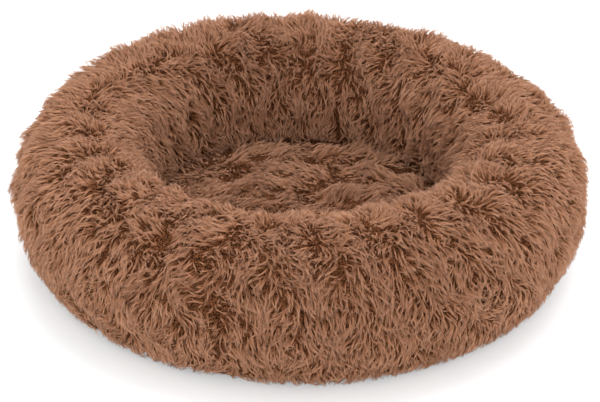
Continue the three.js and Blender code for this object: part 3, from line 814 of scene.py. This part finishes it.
def add_fur(material):
    """The rim's fur in sectors and the well's in strips, so that no piece has too many faces."""
    angles, lengths = rim_roots()
    sector = np.floor(angles / TURN * RIM_SECTORS).astype(int)
    strand_lengths = rim_strand_lengths(angles, lengths)
    for k in range(RIM_SECTORS):
        chosen = sector == k
        add_fur_piece(
            f"rim_fur_{k:02d}", material,
            angles[chosen], lengths[chosen], strand_lengths[chosen], RIM_SURFACE)
    x, y = well_roots()
    strip = np.floor((x + WELL_SEAM[0]) / (2 * WELL_SEAM[0]) * WELL_PARTS).astype(int)
    for k in range(WELL_PARTS):
        chosen = strip == k
        add_fur_piece(
            f"well_fur_{k:02d}", material,
            x[chosen], y[chosen], STRAND_LENGTH, WELL_SURFACE)


# Padded pieces under the fur

UNDERCOAT_SHARE = 0.4
UNDERCOAT_STEPS = 180
UNDERCOAT_STRIDE = 2
UNDERFUR_RISE = 0.8 * MM
WELL_STEPS = 144
WELL_POINTS = 24
CUSHION_STEPS = 120
CUSHION_POINTS = 40
CUSHION_POWER = 2 / 3
BOLSTER_STEPS = 180
BOLSTER_POINTS = 72
FILL_INSET = 1.3 * MM
AXIS = 0.2 * MM


def rim_undercoat(name, start, node, material):
    """The rim's backing and dense underfur as one closed padded shell of a half ring."""
    angles = np.linspace(start, start + math.pi, UNDERCOAT_STEPS + 1)
    lengths = profile_s[::UNDERCOAT_STRIDE]
    grid_angle, grid_length = np.meshgrid(angles, lengths, indexing="ij")
    depth = rim_depth(grid_angle, grid_length) * UNDERCOAT_SHARE
    uneven = underfur(grid_angle, grid_length) * UNDERFUR_RISE
    top, _ = rim_place(grid_angle, grid_length, depth + uneven)
    under, _ = rim_place(grid_angle, grid_length, np.zeros_like(depth))
    loops = np.concatenate([top, under[:, ::-1]], axis=1)
    columns = loops.shape[1]
    sides = tube_faces(len(angles), columns)[:, ::-1]
    j = np.arange(columns // 2 - 1)
    cap = np.stack([j, j + 1, columns - 2 - j, columns - 1 - j], axis=1)
    far_cap = cap[:, ::-1] + (len(angles) - 1) * columns
    faces = np.concatenate([sides, cap, far_cap])
    piece = mesh_object(name, loops.reshape(-1, 3), faces, material)
    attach(piece, BED)
    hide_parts(node)


def round_piece(name, profile, steps, material, nodes):
    """A padded round piece, turned about +Z from a closed profile of (radius, height)."""
    angles = (np.arange(steps) * TURN / steps)[:, None]
    r, z = np.array(profile).T
    level = np.broadcast_to(z, (steps, len(z)))
    places = np.stack([r * np.cos(angles), r * np.sin(angles), level], axis=-1).reshape(-1, 3)
    piece = mesh_object(name, places, tube_faces(steps, len(r), wrap_rows=True), material)
    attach(piece, BED)
    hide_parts(*nodes)


def well_undercoat(material):
    """The well's backing and underfur: a crowned disc, its top drawn in at the edge."""
    share = np.linspace(0, 1, WELL_POINTS)
    radius = np.maximum(share * WELL_SEAM[0], AXIS)
    back = WELL_SEAM[1] + WELL_CROWN * (1 - share ** 2)
    depth = COVER_DEPTH * UNDERCOAT_SHARE
    over = [(max(r - depth * s, AXIS), z + depth) for r, z, s in zip(radius, back, share)]
    under = list(zip(radius, back))[::-1]
    round_piece(
        "well_undercoat", under + over, WELL_STEPS, material, ["well_panel"])


def add_cushion(liner, filling):
    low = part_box("cushion_liner_bottom")[0][2]
    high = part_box("cushion_liner_top")[1][2]
    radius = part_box("cushion_liner_top")[1][0]
    turn = np.linspace(math.pi / 2, -math.pi / 2, CUSHION_POINTS)
    across = np.abs(np.cos(turn)) ** CUSHION_POWER
    up = np.sign(np.sin(turn)) * np.abs(np.sin(turn)) ** CUSHION_POWER
    for name, inset, material, slot, nodes in (
        ("cushion_liner", 0, liner, "liner_cloth", ["cushion_liner_top", "cushion_liner_bottom"]),
        ("cushion_fill", FILL_INSET, filling, "filling", ["cushion_filling"]),
    ):
        r = np.maximum((radius - inset) * across, AXIS)
        z = (high + low) / 2 + ((high - low) / 2 - inset) * up
        round_piece(name, list(zip(r, z)), CUSHION_STEPS, material, nodes)


def add_bolster(liner, filling):
    turn = np.linspace(0, TURN, BOLSTER_POINTS, endpoint=False)
    for name, inset, material, slot, nodes in (
        ("bolster_liner", 0, liner, "liner_cloth", ["bolster_liner_top", "bolster_liner_bottom"]),
        ("bolster_fill", FILL_INSET, filling, "filling", ["bolster_filling"]),
    ):
        r, z = oval(BOLSTER_HALF_WIDTH - inset, BOLSTER_HALF_HEIGHT - inset, turn)
        round_piece(name, list(zip(r, z)), BOLSTER_STEPS, material, nodes)


# Base: its printed dots, and its cloth turned in at both ends of the zip's opening

DOT_SPACING = 19 * MM
DOT_RADIUS = 3.8 * MM
DOT_MARGIN = 34 * MM
DOT_SIDES = 12
DOT_PROFILE = ((1.0, BASE_UNDER + 0.2 * MM), (1.0, 0.0), (0.94, -0.12 * MM), (0.05, -0.16 * MM))
FACING_START = (0.3266, 0.0123)
FACING_LENGTH = 17 * MM
FACING_DEPTH = 0.4 * MM
FACING_LAP = math.radians(1)
FACING_SHOWN = math.radians(1.66)
FACING_STEPS = 8


def dot_centres():
    limit = HEEL[0] - DOT_MARGIN
    row_spacing = DOT_SPACING * math.sin(math.pi / 3)
    rows = int(limit / row_spacing)
    columns = int(limit / DOT_SPACING) + 1
    for row in range(-rows, rows + 1):
        for column in range(-columns, columns + 1):
            x = (column + (row % 2) / 2) * DOT_SPACING
            y = row * row_spacing
            if math.hypot(x, y) < limit:
                yield x, y


def add_dots(material):
    turn = np.arange(DOT_SIDES) * TURN / DOT_SIDES
    rim = list(zip(np.cos(turn) * DOT_RADIUS, np.sin(turn) * DOT_RADIUS))
    places = []
    faces = []
    for x, y in dot_centres():
        faces.append(tube_faces(len(DOT_PROFILE), DOT_SIDES) + len(places))
        for size, z in DOT_PROFILE:
            places.extend((x + a * size, y + b * size, z) for a, b in rim)
    piece = mesh_object("grip_dots", places, np.concatenate(faces), material)
    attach(piece, BED)


def add_zip_facings(cloth):
    """A strip of cloth behind the tapes at each end of the opening, where no teeth close it."""
    along = FACING_LENGTH * HEEL_WAY
    deep = FACING_DEPTH * HEEL_WAY
    r, z = FACING_START
    section = [
        (r, z),
        (r + along, z + along),
        (r + along - deep, z + along + deep),
        (r - deep, z + deep),
    ]
    last = (FACING_STEPS - 1) * len(section)
    ends = [[3, 2, 1, 0], [last, last + 1, last + 2, last + 3]]
    for name, low, high in (
        ("zip_facing_open", CUT_TURN[0] - FACING_LAP, CUT_TURN[0] + FACING_SHOWN),
        ("zip_facing_closed", CUT_TURN[1] - FACING_SHOWN, CUT_TURN[1] + FACING_LAP),
    ):
        angles = np.linspace(low, high, FACING_STEPS)
        places = [(a * math.cos(t), a * math.sin(t), b) for t in angles for a, b in section]
        faces = np.concatenate([tube_faces(FACING_STEPS, len(section)), ends])
        piece = mesh_object(name, places, faces, cloth, smooth=False)
        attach(piece, BED)


def dress(names, material):
    """Gives CAD nodes their material."""
    for name in names:
        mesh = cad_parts[name].data
        mesh.materials.clear()
        mesh.materials.append(material)


# Camera, light and floor

IMAGE_WIDTH = 600
PIXELS_PER_METRE = 759
CAMERA_DISTANCE = 2.96
CAMERA_ELEVATION = math.radians(29.2)
CAMERA_ROLL = math.radians(0.5)
SENSOR = 36
AIM = Vector((-0.0005, 0, 0.071))

# Azimuths are about +Z, 0 at the front and 90 degrees at the right
SUN_SPREAD = math.radians(50)
SUNS = (
    ("key", math.radians(4), math.radians(24), 2.2),
    ("top", math.radians(165), math.radians(62), 1.8),
)
WORLD_LIGHT = 1.2
WORLD_SHOWN = 1.0
FLOOR_HALF = 12
FLOOR_GAP = 0.3 * MM
FLOOR_TONE = 0.7
FLOOR_GLOW = 0.23


def add_camera():
    data = bpy.data.cameras.new("camera")
    data.sensor_width = SENSOR
    data.lens = PIXELS_PER_METRE * CAMERA_DISTANCE / IMAGE_WIDTH * SENSOR
    camera = bpy.data.objects.new("camera", data)
    way = Vector((0, -math.cos(CAMERA_ELEVATION), math.sin(CAMERA_ELEVATION)))
    camera.location = AIM + way * CAMERA_DISTANCE
    camera.rotation_euler = (-way).to_track_quat("-Z", "Y").to_matrix().to_4x4().to_euler()
    camera.rotation_euler.rotate_axis("Z", CAMERA_ROLL)
    bpy.context.scene.collection.objects.link(camera)
    bpy.context.scene.camera = camera


def add_sun(name, azimuth, elevation, strength):
    """A soft, even light."""
    data = bpy.data.lights.new(name, "SUN")
    data.angle = SUN_SPREAD
    data.energy = strength
    lamp = bpy.data.objects.new(name, data)
    level = math.cos(elevation)
    way = Vector((math.sin(azimuth) * level, -math.cos(azimuth) * level, math.sin(elevation)))
    lamp.location = way * CAMERA_DISTANCE
    lamp.rotation_euler = (-way).to_track_quat("-Z", "Y").to_euler()
    bpy.context.scene.collection.objects.link(lamp)


def add_world():
    """A white studio that gives a little more light than it shows."""
    world = bpy.data.worlds.new("studio")
    world.use_nodes = True
    nodes = world.node_tree.nodes
    links = world.node_tree.links
    background = nodes["Background"]
    background.inputs["Color"].default_value = (1, 1, 1, 1)
    seen = nodes.new("ShaderNodeLightPath")
    mix = nodes.new("ShaderNodeMix")
    mix.inputs["A"].default_value = WORLD_LIGHT
    mix.inputs["B"].default_value = WORLD_SHOWN
    links.new(seen.outputs["Is Camera Ray"], mix.inputs["Factor"])
    links.new(mix.outputs["Result"], background.inputs["Strength"])
    bpy.context.scene.world = world


def add_floor():
    """A pale floor that glows a little to the camera, so that it shows white with a soft shadow."""
    material, nodes, links, shader = new_material("floor")
    shader.inputs["Base Color"].default_value = (FLOOR_TONE, FLOOR_TONE, FLOOR_TONE, 1)
    shader.inputs["Roughness"].default_value = 0.9
    shader.inputs["Specular IOR Level"].default_value = 0
    glow = nodes.new("ShaderNodeEmission")
    seen = nodes.new("ShaderNodeLightPath")
    dim = nodes.new("ShaderNodeMath")
    dim.operation = "MULTIPLY"
    dim.inputs[1].default_value = FLOOR_GLOW
    links.new(seen.outputs["Is Camera Ray"], dim.inputs[0])
    links.new(dim.outputs[0], glow.inputs["Strength"])
    both = nodes.new("ShaderNodeAddShader")
    links.new(shader.outputs[0], both.inputs[0])
    links.new(glow.outputs[0], both.inputs[1])
    links.new(both.outputs[0], nodes["Material Output"].inputs["Surface"])
    half = FLOOR_HALF
    low = -FLOOR_GAP
    corners = [(-half, -half, low), (half, -half, low), (half, half, low), (-half, half, low)]
    floor = mesh_object("floor", corners, [[0, 1, 2, 3]], material, smooth=False)


bpy.context.scene.view_settings.view_transform = "Standard"
add_camera()
add_world()
for sun in SUNS:
    add_sun(*sun)
add_floor()

strands = strand_material()
undercoat = undercoat_material()
oxford = woven_material("oxford_cloth", (0.02, 0.011, 0.007), (0.075, 0.045, 0.03), 1800)
tape = woven_material("zip_tape", (0.03, 0.016, 0.009), (0.1, 0.055, 0.032), 2600)
liner = woven_material("liner_cloth", (0.55, 0.53, 0.48), (0.85, 0.82, 0.76), 2200, roughness=0.9)
filling = speckled_material(
    "fibre_filling", (0.75, 0.74, 0.71), (0.92, 0.91, 0.88), scale=90, roughness=1.0, depth=3 * MM)
teeth = speckled_material(
    "zip_teeth", (0.035, 0.019, 0.01), (0.06, 0.034, 0.02), scale=900, roughness=0.4)
metal = speckled_material(
    "zip_metal", (0.12, 0.08, 0.055), (0.2, 0.14, 0.1), scale=700, roughness=0.3,
    metallic=1.0, depth=0.05 * MM)
rubber = speckled_material(
    "grip_rubber", (0.012, 0.01, 0.009), (0.03, 0.026, 0.023), scale=600, roughness=0.6)

add_fur(strands)
rim_undercoat("rim_undercoat_left", math.pi / 2 + SEAM_TURN, "rim_panel_left", undercoat)
rim_undercoat("rim_undercoat_right", -math.pi / 2 + SEAM_TURN, "rim_panel_right", undercoat)
well_undercoat(undercoat)
add_bolster(liner, filling)
add_cushion(liner, filling)
add_dots(rubber)
add_zip_facings(oxford)
dress(["base_panel"], oxford)
dress(["zip_tape_base", "zip_tape_rim"], tape)
dress(["zip_teeth_base", "zip_teeth_rim"], teeth)
dress(["zip_top_stop_base", "zip_top_stop_rim", "zip_bottom_stop", "zip_slider", "zip_pull"], metal)
